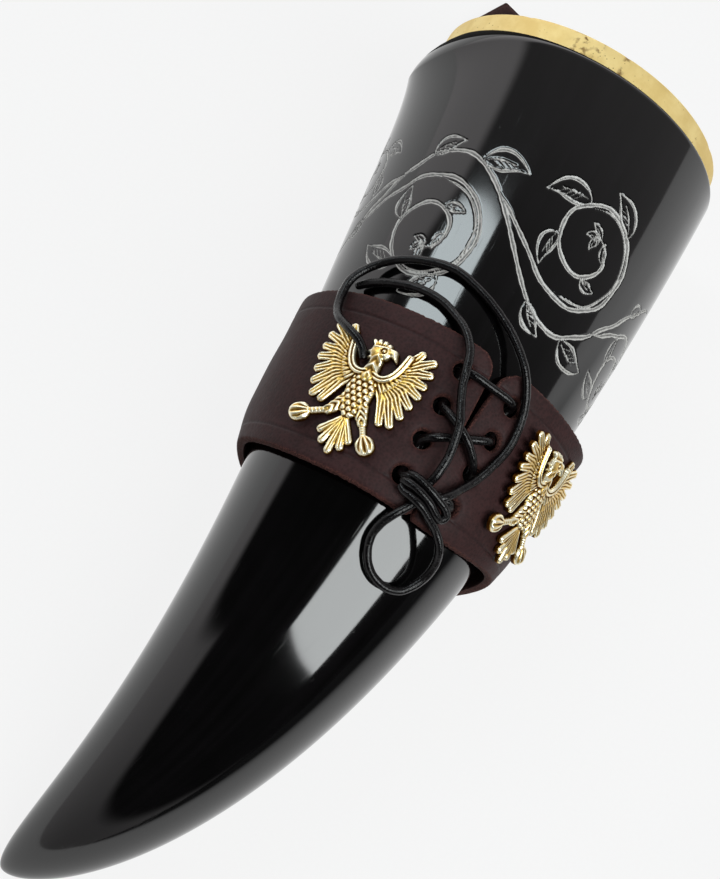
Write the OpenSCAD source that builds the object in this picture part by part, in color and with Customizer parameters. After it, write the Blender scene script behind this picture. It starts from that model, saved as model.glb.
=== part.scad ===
// Drinking horn in a laced leather cuff, lying on its hanging strap.
// The origin is the middle of the mouth, +X is the way the mouth faces and +Z is up.

/* [Horn] */
// Outer radius of the horn at the mouth
mouth_r = 38; // [34:0.5:42]
// Length of the horn along its curved middle line
horn_len = 231; // [215:1:250]
// How late along its length the horn thins: a higher value keeps it full for longer
belly = 1.41; // [1.3:0.01:1.6]
// How blunt the horn ends: a lower value gives a blunter tip
taper = 0.6; // [0.5:0.01:0.7]
// How far the tip has turned away from the line of the mouth, in degrees
curl_angle = 56; // [30:1:60]
// How far the curl leans down from level, in degrees
curl_roll = 43; // [35:0.1:50]
// How far the mouth is sawn off square, in degrees
mouth_skew = 2.8; // [0:0.1:4]
// How far the mouth tips up as the horn lies on its strap, in degrees
lie_tilt = 0.7; // [0.5:0.1:2]
// Thickness of the horn's wall
horn_wall = 3.4; // [2.5:0.1:5]
// Depth of the hollow along the middle line, with solid horn below it
hollow_depth = 150; // [110:1:170]
// Length of the round end of the hollow
hollow_round = 30; // [15:1:45]

/* [Rim ring] */
// Width of bare horn left round the outside of the ring
lip_w = 1.9; // [1.4:0.1:3]
// Thickness of the ring's wall
ring_wall = 2.2; // [1.5:0.1:3]
// How far the ring stands out of the horn
ring_proud = 5.5; // [2:0.1:7]
// How deep the ring is set into the mouth
ring_seat = 8; // [5:0.5:14]
// Radius that the ring's outer edges are rounded to
ring_round = 0.7; // [0.3:0.1:1]
// Gap all round between the ring and its seat, filled with glue
ring_gap = 0.03; // [0.02:0.01:0.1]

/* [Cuff] */
// Distance of the cuff's upper edge from the mouth, along the horn
cuff_from_mouth = 78; // [65:1:90]
// Height of the cuff
cuff_h = 40; // [34:1:48]
// How far the cuff's lower edge rises at each side
cuff_rise = 3.3; // [0:0.1:5]
// Thickness of the cuff's leather
leather_t = 2.1; // [1.6:0.1:3]
// Room between horn and cuff at the upper edge
slack_top = 1.3; // [1.2:0.1:3]
// Room between horn and cuff at the lower edge
slack_low = 3.6; // [3.2:0.1:5]
// How far the cuff sits off the horn's middle, towards the lacing
cuff_shift = 0.3; // [0:0.05:0.5]
// Where the lacing is, in degrees from the top of the lying horn
lacing_turn = 20; // [0:1:40]
// Width of the open seam at the upper edge
seam_open = 3.2; // [1:0.1:6]
// Width of the seam where its two edges meet
seam_closed = 0.5; // [0.3:0.1:1.5]

/* [Lacing] */
// Diameter of the round leather lace
lace_d = 2; // [1.6:0.1:2.4]
// Diameter of the punched lace holes
lace_hole_d = 4.3; // [3.6:0.1:5]
// Distance between the two columns of holes
hole_spread = 14; // [11:0.5:17]
// Distance between the rows of holes
hole_pitch = 8.8; // [7:0.1:10]

/* [Eagles] */
// Span of an eagle across its wing tips
eagle_span = 28; // [24:0.5:29]
// Thickness of the wings
wing_t = 1.5; // [1:0.1:2.5]
// How far the body and head stand up above the wings
body_rise = 1; // [0.5:0.1:2]
// Where the left eagle's middle is, in degrees round the cuff from the seam
left_eagle_turn = 39; // [38:1:48]
// Where the right eagle's middle is, in degrees round the cuff from the seam
right_eagle_turn = 43; // [42:1:50]
// How far the left eagle's middle is below the middle of the cuff
left_eagle_drop = 1; // [0:0.5:2]
// How far the right eagle's middle is above the middle of the cuff
right_eagle_lift = 2; // [0:0.5:3]
// How far the right eagle is turned on its post, in degrees
right_eagle_spin = 7; // [0:1:10]
// Diameter of the threaded post on an eagle's back
post_d = 4.4; // [3.8:0.1:6]
// Diameter of the screw that holds an eagle
screw_d = 2.6; // [2:0.1:3]
// Diameter of a screw's flat head
screw_head_d = 7; // [6:0.5:8]
// Thickness of a screw's flat head
screw_head_t = 0.8; // [0.6:0.1:1]

/* [Hanging strap] */
// Width of the strap
strap_w = 22; // [18:1:28]
// Thickness of the strap's leather
strap_t = 2.6; // [2:0.1:4]
// Length of the strap from its tail to its point
strap_len = 164; // [150:1:180]
// How far the strap leans from the line of the mouth, in degrees
strap_lean = 14.3; // [8:0.1:18]
// Angle of the strap's pointed end
point_angle = 100; // [70:1:130]
// How far the strap's point is cut askew, in degrees
point_skew = 8; // [0:1:12]
// Diameter of the hanging hole
hang_hole_d = 8; // [6:0.5:10]
// Distance of the hanging hole from the strap's point
hang_hole_in = 20; // [18:1:28]
// Distance of the first rivet from the strap's tail
tail_in = 10; // [8:1:14]
// Distance between the two rivets
rivet_pitch = 12; // [10:1:14]
// Diameter of a rivet's shank
rivet_d = 3.2; // [2.4:0.1:4]
// Diameter of a rivet's head and of its cap
rivet_head_d = 8; // [7:0.5:8]
// Thickness of a rivet's head and of its cap
rivet_head_t = 0.9; // [0.6:0.1:1]

/* [Hidden] */
// Names of the sub-parts

// Colours
horn_black = [0.07, 0.065, 0.07];
brass_yellow = [0.86, 0.74, 0.44];
cuff_brown = [0.23, 0.14, 0.14];
lace_black = [0.09, 0.08, 0.08];
eagle_gold = [0.66, 0.5, 0.27];
strap_brown = [0.2, 0.12, 0.1];

// Fineness of true curves, and of the swept horn
$fn = 64;
horn_sides = 40;
horn_rings = 40;
hollow_sides = 36;
hollow_rings = 24;
curl_steps = 40;

// Small running clearance, and how far a cut reaches past what it cuts
clear = 0.05;
over = 2;

// The horn's middle line turns ever faster towards the tip, in one leaning plane
function heading(s) = curl_angle * pow(s / horn_len, 3);
function horn_r(s) = mouth_r * pow(1 - pow(s / horn_len, belly), taper);
function shares(s, n) = [for (k = [0 : n - 1]) s / n];
function run(s) = shares(s, curl_steps) * [for (k = [0.5 : curl_steps]) cos(heading(s * k / curl_steps))];
function bend(s) = shares(s, curl_steps) * [for (k = [0.5 : curl_steps]) sin(heading(s * k / curl_steps))];
function centre(s) = [-run(s), bend(s) * cos(curl_roll), -bend(s) * sin(curl_roll)];
function curl_side(t) = [sin(t), cos(t) * cos(curl_roll), -cos(t) * sin(curl_roll)];
curl_axis = [0, -sin(curl_roll), -cos(curl_roll)];
function horn_ring(s, r, n) = [
  for (k = [0 : n - 1])
    centre(s) + r * cos(360 * k / n) * curl_side(heading(s)) + r * sin(360 * k / n) * curl_axis
];

// Stations along the horn, closer together towards the tip
horn_stations = [for (k = [0 : horn_rings - 1]) horn_len * sin(90 * k / horn_rings)];
hollow_stations = [for (k = [0 : hollow_rings - 1]) hollow_depth * sin(90 * k / hollow_rings)];
hollow_turn = hollow_depth - hollow_round;
function hollow_end(s) = s < hollow_turn ? 1 : sqrt(1 - pow((s - hollow_turn) / hollow_round, 2));
function hollow_r(s) = (horn_r(s) - horn_wall) * hollow_end(s);

// The rim ring is let into the mouth
ring_r = horn_r(ring_proud) - lip_w;
ring_bore_r = ring_r - ring_wall;

// The cuff's own frame: its middle on the horn's middle line, X along its axis towards the mouth
cuff_mid = cuff_from_mouth + cuff_h / 2;
cuff_top_in = horn_r(cuff_from_mouth) + slack_top;
cuff_low_in = horn_r(cuff_from_mouth + cuff_h) + slack_low;
cuff_slope = (cuff_top_in - cuff_low_in) / cuff_h;
cuff_cone = atan(cuff_slope);
// The lower edge is trimmed along a wide arc, so that it rises at the sides and not at the top or bottom
trim_r = (pow(cuff_low_in, 2) + pow(cuff_rise, 2)) / 2 / max(cuff_rise, clear);
function cuff_in(x) = (cuff_top_in + cuff_low_in) / 2 + cuff_slope * x;
function cuff_out(x) = cuff_in(x) + leather_t;
cuff_offset = cuff_shift * [0, -sin(lacing_turn), cos(lacing_turn)];
// A place on the cuff: x along it, a turn in degrees from the seam, and a height above the leather
function on_cuff(p) = cuff_offset
  + [p[0], -(cuff_out(p[0]) + p[2]) * sin(lacing_turn + p[1]), (cuff_out(p[0]) + p[2]) * cos(lacing_turn + p[1])];
function turned(p, t) = p * cos(t) + cross(curl_axis, p) * sin(t) + curl_axis * (curl_axis * p) * (1 - cos(t));
function skewed(p) = [
  p[0] * cos(mouth_skew) - p[1] * sin(mouth_skew),
  p[0] * sin(mouth_skew) + p[1] * cos(mouth_skew),
  p[2]
];
function tilted(p) = [
  p[0] * cos(lie_tilt) - p[2] * sin(lie_tilt),
  p[1],
  p[0] * sin(lie_tilt) + p[2] * cos(lie_tilt)
];
function cuff_to_part(p) = tilted(skewed(centre(cuff_mid) + turned(p, heading(cuff_mid))));

// Lacing: four rows of two holes
lace_rows = 4;
hole_turn = hole_spread / 2 / cuff_out(0) * 180 / PI;
function row_x(k) = hole_pitch * (k - (lace_rows - 1) / 2);
// The lace lies on the leather, bites into it a little inside, and crosses over itself
lace_r = lace_d / 2;
lace_lift = 0.15;
lace_on = lace_r + lace_lift;
lace_over = lace_on + lace_d + lace_lift;
lace_bite = 0.6;
lace_in = -leather_t - lace_r + lace_bite;
lace_through = -leather_t / 2;
lace_sides = 8;
// The knot sits on the lowest row, and both ends of the weave run into it
knot_r = 2.6;
knot_at = [row_x(0), 0, knot_r + lace_lift];
knot_turn = 2.5;
// How far the lace's bends are from the middle of a hole: in degrees, and along the cuff inside and outside
bend_turn = 3;
bend_in = 1.8;
bend_out = 1.3;
near_turn = hole_turn - bend_turn;
// The lace goes in at a hole from the outside, or comes out, on one side of the seam
function bar_end(k, side) = [row_x(k), side * near_turn, lace_on];
function in_hole(k, side) = [row_x(k), side * hole_turn, lace_through];
function inside(k, side, step) = [row_x(k) + step * bend_in, side * hole_turn, lace_in];
function inner_run(a, b, side) = [
  in_hole(a, side), inside(a, side, sign(b - a)), inside(b, side, sign(a - b)), in_hole(b, side)
];
function crossing(a, b, side, h) = [
  [row_x(a) + bend_out, side * near_turn, lace_on],
  [(row_x(a) + row_x(b)) / 2, 0, h],
  [row_x(b) - bend_out, -side * near_turn, lace_on]
];
function backwards(list) = [for (k = [len(list) - 1 : -1 : 0]) list[k]];
weave_route = concat(
  [[row_x(0), -knot_turn, lace_on], [row_x(0), -near_turn, lace_on]],
  inner_run(0, 1, -1),
  crossing(1, 2, -1, lace_on),
  inner_run(2, 3, 1),
  [bar_end(3, 1), [row_x(3), 0, lace_on], bar_end(3, -1)],
  inner_run(3, 2, -1),
  backwards(crossing(1, 2, 1, lace_over)),
  inner_run(1, 0, 1),
  [[row_x(0), near_turn, lace_on], [row_x(0), knot_turn, lace_on]]
);
// Routes of the loose lace, each point as along the cuff, turn from the seam, height above the leather
long_route = [
  [-13.5, 4.2, 3.2], [-12, 6, 2.9], [-9.5, 8.5, 2], [-6, 12, 1.3], [-1, 15, 1.2], [5.5, 17, 1.2],
  [12.5, 15, 1.2], [17, 11.5, 1.2], [21, 6.5, 1.1], [25, 0, -0.3], [28.5, -9, -1.4], [31.3, -20, -1.9],
  [33, -32, -1.8], [32.2, -44, -1.6], [30, -55.5, -1.3], [26.5, -63, -0.4], [22.5, -66, 0.9],
  [18.3, -64.8, 1.3], [15.3, -61, 1.3], [14, -55, 1.3], [12.8, -49.5, 1.3], [10, -45.8, 1.2], [7.6, -44.2, 1.2]
];
short_route = [
  [-10.8, -1.8, 3.4], [-6, -2, 4], [-2, -3.3, 4.5], [1.8, -5, 4.7], [5.5, -7.4, 3.8], [9.2, -9.8, 3.4],
  [13, -11.5, 3.4], [16.5, -13, 2.7], [19, -15.2, 1.8], [21.3, -18.5, 0.8], [23.3, -23.5, -0.6],
  [25.2, -31, -1.6], [25.8, -40, -1.9], [25.2, -50, -1.9], [23.8, -60, -1.8], [22.4, -66.5, -1.7]
];
bow_route = [
  [-15.6, -1.6, 2.2], [-18.3, -3.8, 1.4], [-21.3, -7.3, 1], [-24.5, -10.2, -1.2], [-28, -9.6, -4],
  [-31.5, -5.5, -5.8], [-34, 2, -6.3], [-34.5, 12, -6.4], [-32, 21.7, -6], [-28, 24.8, -4.2],
  [-24, 23, -1.1], [-21, 17.5, 1.1], [-18.8, 9.8, 1.7], [-15.5, 1.9, 3.2]
];

// Eagles: where the left (-1) and the right (1) one sits, and the figure on a span of one, as across and up
function eagle_at(side) = side < 0 ? -left_eagle_turn : right_eagle_turn;
function eagle_x(side) = side < 0 ? -left_eagle_drop : right_eagle_lift;
function eagle_spin(side) = side < 0 ? 0 : right_eagle_spin;
shoulder = [0.06, 0.13];
elbow = [0.17, 0.15];
wing_wrist = [0.275, 0.4];
arm_edge = [-0.03, 0.02];
feather_root = [0.13, 0.17];
feather_w = 0.084;
feather_lens = [0.385, 0.405, 0.36, 0.335, 0.33, 0.355, 0.395, 0.395, 0.34];
feathers = len(feather_lens);
lowest_feather = -72;
feather_step = 15.4;
foot_at = [0.33, -0.4];
foot_r = 0.075;
// The post ends a little inside the leather, where the screw's head covers it
screw_gap = 0.05;
post_past = 0.2;
post_len = leather_t + post_past;

// The strap lies level under the cuff, and its top just clears the leather
cuff_bottom_turn = 180 - lacing_turn;
function cuff_bottom(x) = cuff_to_part(on_cuff([x, cuff_bottom_turn, 0]));
strap_top = min(cuff_bottom(-cuff_h / 2)[2], cuff_bottom(cuff_h / 2)[2]) - clear;
rivet_in = 6;
rear_rivet_x = -cuff_h / 2 + rivet_in;
front_rivet_x = rear_rivet_x + rivet_pitch;
strap_at = cuff_bottom((rear_rivet_x + front_rivet_x) / 2);
strap_tail = -tail_in - rivet_pitch / 2;
tail_round = 6;

// A closed skin over rings of points, with an end point or a flat face at its far end
module skin(rings, apex) {
  n = len(rings[0]);
  last = len(rings) - 1;
  body = [for (ring = rings, p = ring) p];
  points = is_undef(apex) ? body : concat(body, [apex]);
  sides = [
    for (k = [0 : last - 1], m = [0 : n - 1])
      let (a = k * n + m, b = k * n + (m + 1) % n)
        each [[a, a + n, b], [b, a + n, b + n]]
  ];
  start = [[for (m = [0 : n - 1]) m]];
  end = is_undef(apex)
    ? [[for (m = [n - 1 : -1 : 0]) last * n + m]]
    : [for (m = [0 : n - 1]) [last * n + m, len(body), last * n + (m + 1) % n]];
  polyhedron(points, concat(start, sides, end), convexity = 8);
}

// A round tube along a list of points
function unit(v) = v / norm(v);
function tangent(route, k) = unit(route[min(k + 1, len(route) - 1)] - route[max(k - 1, 0)]);
function side_of(t, v) = unit(v - t * (t * v));
function frames(route) = [
  for (k = 0, v = side_of(tangent(route, 0), [0.3, 0.2, 1]); k < len(route);
       k = k + 1, v = k < len(route) ? side_of(tangent(route, k), v) : v) v
];
module tube(route, r) {
  sides = frames(route);
  skin([
    for (k = [0 : len(route) - 1])
      let (t = tangent(route, k), u = sides[k], w = cross(t, u))
        [for (m = [0 : lace_sides - 1])
          route[k] + r * cos(360 * m / lace_sides) * u + r * sin(360 * m / lace_sides) * w]
  ]);
}
module lace(route) {
  color(lace_black) tube([for (p = route) cuff_to_part(on_cuff(p))], lace_r);
}

// Tips its children with the lying horn
module lying() {
  rotate([0, -lie_tilt, 0])
    children();
}
// Moves its children to the cuff's frame
module at_cuff() {
  lying()
    rotate([0, 0, mouth_skew])
      translate(centre(cuff_mid))
        rotate(a = heading(cuff_mid), v = curl_axis)
          translate(cuff_offset)
            children();
}
// Moves its children on to the leather: Z stands out of the cuff, X runs towards the mouth
module on_leather(x, turn) {
  at_cuff()
    rotate([lacing_turn + turn, 0, 0])
      translate([x, 0, cuff_out(x)])
        rotate([0, -cuff_cone, 0])
          children();
}

module horn_shell() {
  color(horn_black)
    lying()
      difference() {
        rotate([0, 0, mouth_skew])
          difference() {
            skin([for (s = horn_stations) horn_ring(s, horn_r(s), horn_sides)], centre(horn_len));
            skin([for (s = hollow_stations) horn_ring(s, hollow_r(s), hollow_sides)], centre(hollow_depth));
          }
        translate([-ring_proud, 0, 0])
          rotate([0, 90, 0])
            cylinder(r = mouth_r + over, h = ring_proud + mouth_r);
        translate([-ring_proud - ring_seat, 0, 0])
          rotate([0, 90, 0])
            cylinder(r = ring_r + ring_gap, h = ring_seat + over);
      }
}

module rim_ring() {
  ring_len = ring_proud + ring_seat;
  color(brass_yellow)
    lying()
      rotate([0, 90, 0])
        rotate_extrude()
          difference() {
            translate([ring_bore_r, -ring_len])
              square([ring_wall, ring_len]);
            difference() {
              translate([ring_r - ring_round, -ring_round])
                square(ring_round + over);
              translate([ring_r - ring_round, -ring_round])
                circle(ring_round);
            }
          }
}

module seam_cut() {
  far = cuff_h / 2 + over;
  on_leather(0, 0)
    translate([0, 0, -leather_t - over])
      linear_extrude(leather_t + 2 * over)
        polygon([
          [-far, -seam_closed / 2], [0, -seam_closed / 2], [far, -seam_open / 2],
          [far, seam_open / 2], [0, seam_closed / 2], [-far, seam_closed / 2]
        ]);
}

module leather_cuff() {
  color(cuff_brown)
    difference() {
      at_cuff()
        intersection() {
          rotate([0, 90, 0])
            rotate_extrude()
              polygon([
                [cuff_low_in, -cuff_h / 2], [cuff_low_in + leather_t, -cuff_h / 2],
                [cuff_top_in + leather_t, cuff_h / 2], [cuff_top_in, cuff_h / 2]
              ]);
          translate([trim_r - cuff_h / 2, 0, 0])
            cylinder(r = trim_r, h = 4 * cuff_low_in, center = true);
        }
      seam_cut();
      for (k = [0 : lace_rows - 1], side = [-1, 1])
        on_leather(row_x(k), side * hole_turn)
          translate([0, 0, -leather_t - over])
            cylinder(d = lace_hole_d, h = leather_t + 2 * over);
      for (side = [-1, 1])
        at_eagle(side)
          translate([0, 0, -leather_t - over])
            cylinder(d = post_d + 2 * screw_gap, h = leather_t + 2 * over);
      for (x = [rear_rivet_x, front_rivet_x])
        rivet_hole(x);
    }
}

module lace_weave() {
  lace(weave_route);
}

module lace_knot() {
  color(lace_black)
    translate(cuff_to_part(on_cuff(knot_at)))
      sphere(knot_r);
}

module lace_long_end() {
  lace(long_route);
}

module lace_short_end() {
  lace(short_route);
}

module lace_bow_loop() {
  lace(bow_route);
}

// A feather, lobe or limb with a round tip, from one point to another
module feather(from, to, from_w, to_w) {
  along = unit(to - from);
  across = [-along[1], along[0]];
  round_at = to - along * to_w / 2;
  polygon(concat(
    [from + across * from_w / 2, from - across * from_w / 2],
    [for (a = [-90 : 45 : 90]) round_at + to_w / 2 * (along * cos(a) + across * sin(a))]
  ));
}
// The wing's arm bends from the shoulder past the elbow up to the wrist, and carries the feathers
function arm(t) = shoulder * pow(1 - t, 2) + elbow * 2 * t * (1 - t) + wing_wrist * pow(t, 2);
function feather_angle(k) = lowest_feather + feather_step * k;
function feather_tip(k) = feather_root + feather_lens[k] * [cos(feather_angle(k)), sin(feather_angle(k))];
module eagle_wing() {
  for (k = [0 : feathers - 1])
    feather(arm(k / feathers), feather_tip(k), feather_w, feather_w);
  polygon(concat(
    [for (t = [0 : 0.2 : 1]) arm(t) + arm_edge],
    [for (t = [1 : -0.2 : 0]) arm(t) - arm_edge]
  ));
}
// Turns a figure drawn across and up so that its head is towards +X
module eagle_figure() {
  scale(eagle_span)
    rotate(-90)
      children();
}
module eagle_wings() {
  eagle_wing();
  mirror([1, 0])
    eagle_wing();
}
module eagle_tail() {
  feather([0, -0.15], [0, -0.575], 0.06, 0.11);
  for (side = [-1, 1])
    feather([side * 0.02, -0.2], [side * 0.14, -0.45], 0.05, 0.1);
}
module eagle_body() {
  polygon([for (a = [0 : 18 : 342]) [0.115 * cos(a), 0.21 * sin(a)]]);
}
module eagle_head() {
  translate([0, 0.345])
    circle(0.075, $fn = 24);
  polygon([[-0.035, 0.35], [0.035, 0.35], [0.055, 0.12], [-0.055, 0.12]]);
  polygon([[0.03, 0.405], [0.11, 0.395], [0.16, 0.345], [0.155, 0.3], [0.055, 0.31]]);
  polygon([[-0.065, 0.38], [-0.1, 0.44], [-0.045, 0.425], [0, 0.465], [0.045, 0.425], [0.1, 0.435], [0.055, 0.38]]);
}
module eagle_legs() {
  for (side = [-1, 1])
    scale([side, 1]) {
      feather([0.05, -0.12], foot_at, 0.12, 0.06);
      translate(foot_at)
        circle(foot_r, $fn = 20);
    }
}
// Moves its children to an eagle's place, turned as it sits
module at_eagle(side) {
  on_leather(eagle_x(side), eagle_at(side))
    rotate([0, 0, eagle_spin(side)])
      children();
}
// A flat casting that touches the leather along its middle, with a tapped post behind
module eagle(side) {
  color(eagle_gold)
    at_eagle(side)
      difference() {
        union() {
          translate([0, 0, clear]) {
            linear_extrude(wing_t)
              eagle_figure() {
                eagle_wings();
                eagle_tail();
                eagle_body();
                eagle_legs();
              }
            linear_extrude(wing_t + body_rise)
              eagle_figure() {
                eagle_body();
                eagle_head();
              }
          }
          translate([0, 0, -post_len])
            cylinder(d = post_d, h = post_len + wing_t);
        }
        translate([0, 0, -post_len - over])
          cylinder(d = screw_d + 2 * screw_gap, h = post_len + over);
      }
}
module eagle_left() {
  eagle(-1);
}
module eagle_right() {
  eagle(1);
}

// A flat head inside the cuff, and a shank that runs up the eagle's post
module eagle_screw(side) {
  head_top = -post_len - clear;
  color(eagle_gold)
    at_eagle(side) {
      translate([0, 0, head_top - screw_head_t])
        cylinder(d = screw_head_d, h = screw_head_t);
      translate([0, 0, head_top - screw_head_t / 2])
        cylinder(d = screw_d, h = screw_head_t / 2 + post_len);
    }
}
module eagle_left_screw() {
  eagle_screw(-1);
}
module eagle_right_screw() {
  eagle_screw(1);
}

// Rivets stand square to the leather under the cuff, through cuff and strap
rivet_gap = 0.05;
head_sag = cuff_in(rear_rivet_x) - sqrt(pow(cuff_in(rear_rivet_x), 2) - pow(rivet_head_d / 2, 2));
rivet_head_low = -leather_t - head_sag - clear;
module rivet_hole(x) {
  on_leather(x, cuff_bottom_turn)
    translate([0, 0, -leather_t - over])
      cylinder(d = rivet_d + 2 * rivet_gap, h = leather_t + strap_t + 2 * over);
}
function strap_under(x) = cuff_bottom(x)[2] - strap_top + strap_t;
module rivet_recess(x) {
  on_leather(x, cuff_bottom_turn)
    translate([0, 0, strap_under(x) - rivet_head_t - 2 * clear])
      cylinder(d = rivet_head_d + 4 * rivet_gap, h = rivet_head_t + over);
}
module rivet(x) {
  tip = strap_under(x) - clear;
  color(brass_yellow)
    on_leather(x, cuff_bottom_turn) {
      translate([0, 0, rivet_head_low - rivet_head_t])
        cylinder(d = rivet_head_d, h = rivet_head_t);
      translate([0, 0, rivet_head_low - rivet_head_t / 2])
        cylinder(d = rivet_d, h = tip - rivet_head_low + rivet_head_t / 2);
    }
}
module rivet_cap(x) {
  tip = strap_under(x) - clear;
  color(brass_yellow)
    on_leather(x, cuff_bottom_turn)
      translate([0, 0, tip - rivet_head_t])
        difference() {
          cylinder(d = rivet_head_d, h = rivet_head_t);
          translate([0, 0, -over])
            cylinder(d = rivet_d + rivet_gap, h = rivet_head_t + 2 * over);
        }
}
module front_rivet() {
  rivet(front_rivet_x);
}
module front_rivet_cap() {
  rivet_cap(front_rivet_x);
}
module rear_rivet() {
  rivet(rear_rivet_x);
}
module rear_rivet_cap() {
  rivet_cap(rear_rivet_x);
}

module strap_outline() {
  tip = strap_tail + strap_len;
  half = strap_w / 2;
  point_right = tip - half / tan(point_angle / 2 + point_skew);
  point_left = tip - half / tan(point_angle / 2 - point_skew);
  polygon([
    [strap_tail + tail_round, -half], [point_right, -half], [tip, 0],
    [point_left, half], [strap_tail + tail_round, half]
  ]);
  translate([strap_tail, tail_round - half])
    square([tail_round, strap_w - 2 * tail_round]);
  for (side = [-1, 1])
    translate([strap_tail + tail_round, side * (half - tail_round)])
      circle(tail_round);
}
module hanging_strap() {
  color(strap_brown)
    difference() {
      translate([strap_at[0], strap_at[1], strap_top - strap_t])
        rotate([0, 0, strap_lean])
          difference() {
            linear_extrude(strap_t)
              strap_outline();
            translate([strap_tail + strap_len - hang_hole_in, 0, -over])
              cylinder(d = hang_hole_d, h = strap_t + 2 * over);
          }
      for (x = [rear_rivet_x, front_rivet_x]) {
        rivet_hole(x);
        rivet_recess(x);
      }
    }
}

horn_shell();
rim_ring();
leather_cuff();
lace_weave();
lace_knot();
lace_long_end();
lace_short_end();
lace_bow_loop();
eagle_left();
eagle_right();
eagle_left_screw();
eagle_right_screw();
hanging_strap();
front_rivet();
front_rivet_cap();
rear_rivet();
rear_rivet_cap();
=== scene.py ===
import math

import bmesh
import bpy
import numpy as np
from mathutils import Matrix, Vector
from mathutils.kdtree import KDTree


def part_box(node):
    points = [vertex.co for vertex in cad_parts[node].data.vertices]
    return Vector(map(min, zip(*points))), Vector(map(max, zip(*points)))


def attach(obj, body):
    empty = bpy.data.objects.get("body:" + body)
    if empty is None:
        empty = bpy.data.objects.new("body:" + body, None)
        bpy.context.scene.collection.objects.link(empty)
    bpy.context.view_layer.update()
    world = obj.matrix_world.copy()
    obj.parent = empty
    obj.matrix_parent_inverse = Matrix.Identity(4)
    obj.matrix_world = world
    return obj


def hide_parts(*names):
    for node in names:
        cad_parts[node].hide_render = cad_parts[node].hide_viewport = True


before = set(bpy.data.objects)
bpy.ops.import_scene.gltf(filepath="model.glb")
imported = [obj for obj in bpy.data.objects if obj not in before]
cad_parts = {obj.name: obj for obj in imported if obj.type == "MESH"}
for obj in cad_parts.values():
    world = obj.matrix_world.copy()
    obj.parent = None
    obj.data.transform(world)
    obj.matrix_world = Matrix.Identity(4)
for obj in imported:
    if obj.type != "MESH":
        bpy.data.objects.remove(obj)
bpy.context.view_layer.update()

# The horn: one whole cattle horn, hollowed out, polished black and sawn square at the mouth, where its lip
# is worn round and dull on one side. It thins to a blunt tip along a curl that leans down and to one side.
# Above the cuff a leafy scroll is cut in by hand, so that pale horn shows under the polish in every groove.
MM = 0.001
mouth_r = 38.0
horn_len = 231.0
belly = 1.41
taper = 0.6
curl_angle = math.radians(56.0)
curl_roll = math.radians(43.0)
mouth_skew = math.radians(2.8)
lie_tilt = math.radians(0.7)
horn_wall = 3.4
hollow_depth = 150.0
hollow_round = 30.0
ring_proud = 5.5
ring_seat = 8.0
seat_r = 36.0126
lip_bevel = 1.4
lip_drop = 1.3
lip_flare = 2.2
lip_worn = 9.0
lip_worn_in = 2.5
lip_fade = 8.0
worn_at, worn_width = math.radians(-75.0), math.radians(34.0)

walk = np.linspace(0.0, horn_len, 2400)
walk_heading = curl_angle * (walk / horn_len) ** 3
walk_step = walk[1] - walk[0]
walk_run = np.concatenate([[0.0], np.cumsum(np.cos(walk_heading[1:])) * walk_step])
walk_bend = np.concatenate([[0.0], np.cumsum(np.sin(walk_heading[1:])) * walk_step])


def bell(x, width):
    """1 where x is zero, falling off smoothly to both sides."""
    return np.exp(-(x / width) ** 2)


def run_of(points, power=1.0):
    """How far along a line each of its points is."""
    return np.concatenate([[0.0], np.cumsum(np.linalg.norm(np.diff(points, axis=0), axis=1) ** power)])


def horn_r(s):
    return mouth_r * (1.0 - np.clip(s / horn_len, 0.0, 1.0) ** belly) ** taper


def hollow_r(s):
    past = np.clip((s - hollow_depth + hollow_round) / hollow_round, 0.0, 1.0)
    return (horn_r(s) - horn_wall) * np.sqrt(1.0 - past ** 2)


def stacked(*parts):
    return np.stack(parts, -1)


def skewed(p):
    c, k = math.cos(mouth_skew), math.sin(mouth_skew)
    return stacked(p[..., 0] * c - p[..., 1] * k, p[..., 0] * k + p[..., 1] * c, p[..., 2])


def tilted(p):
    c, k = math.cos(lie_tilt), math.sin(lie_tilt)
    return stacked(p[..., 0] * c - p[..., 2] * k, p[..., 1], p[..., 0] * k + p[..., 2] * c)


def round_horn(s, turn, r):
    """Points at a distance along the middle line, a turn from the top and a radius, not yet tipped."""
    a = -math.pi / 2 - curl_roll - turn
    bent = np.interp(s, walk, walk_heading)
    out = np.interp(s, walk, walk_bend) + r * np.cos(a) * np.cos(bent)
    side = r * np.sin(a)
    c, k = math.cos(curl_roll), math.sin(curl_roll)
    x = -np.interp(s, walk, walk_run) + r * np.cos(a) * np.sin(bent)
    return skewed(stacked(x, out * c - side * k, -out * k - side * c))


def station_at(x, turn, radius):
    """How far along the horn a surface of that radius crosses a plane across the mouth."""
    s = np.full_like(turn, -x)
    for _ in range(40):
        s = s + round_horn(s, turn, radius(s))[..., 0] - x
    return s


# The scroll, drawn flat: across to the right, and down from the rim, in millimetres
scroll_r = 36.5
scroll_wave = 74.0
scroll_mid = 46.5
scroll_swing = 13.5
scroll_end = 62.0
scroll_top, scroll_foot = 15.0, 76.5
scroll_turn = math.radians(99.5)
groove_depth = 0.3
stem_end, last_leaf = 52.0, 50.0
small_at, small_size = 49.5, 0.72
volutes = (
    (-small_at, small_size, -1), (-scroll_wave / 4, 1.0, 1), (scroll_wave / 4, 1.0, 1), (small_at, small_size, 1),
)
volute_points = 150
volute_turns, volute_reach, heart_off = (158.0, -430.0), (15.5, 3.6), 7.5
volute_leaves = (
    (52, 11.0, 0.5, 1), (70, 12.0, 0.75, 1), (88, 9.0, 0.8, 1), (112, 5.5, 0.9, 1), (130, 4.5, 0.9, -1),
)
scroll_cuts = []


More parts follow.
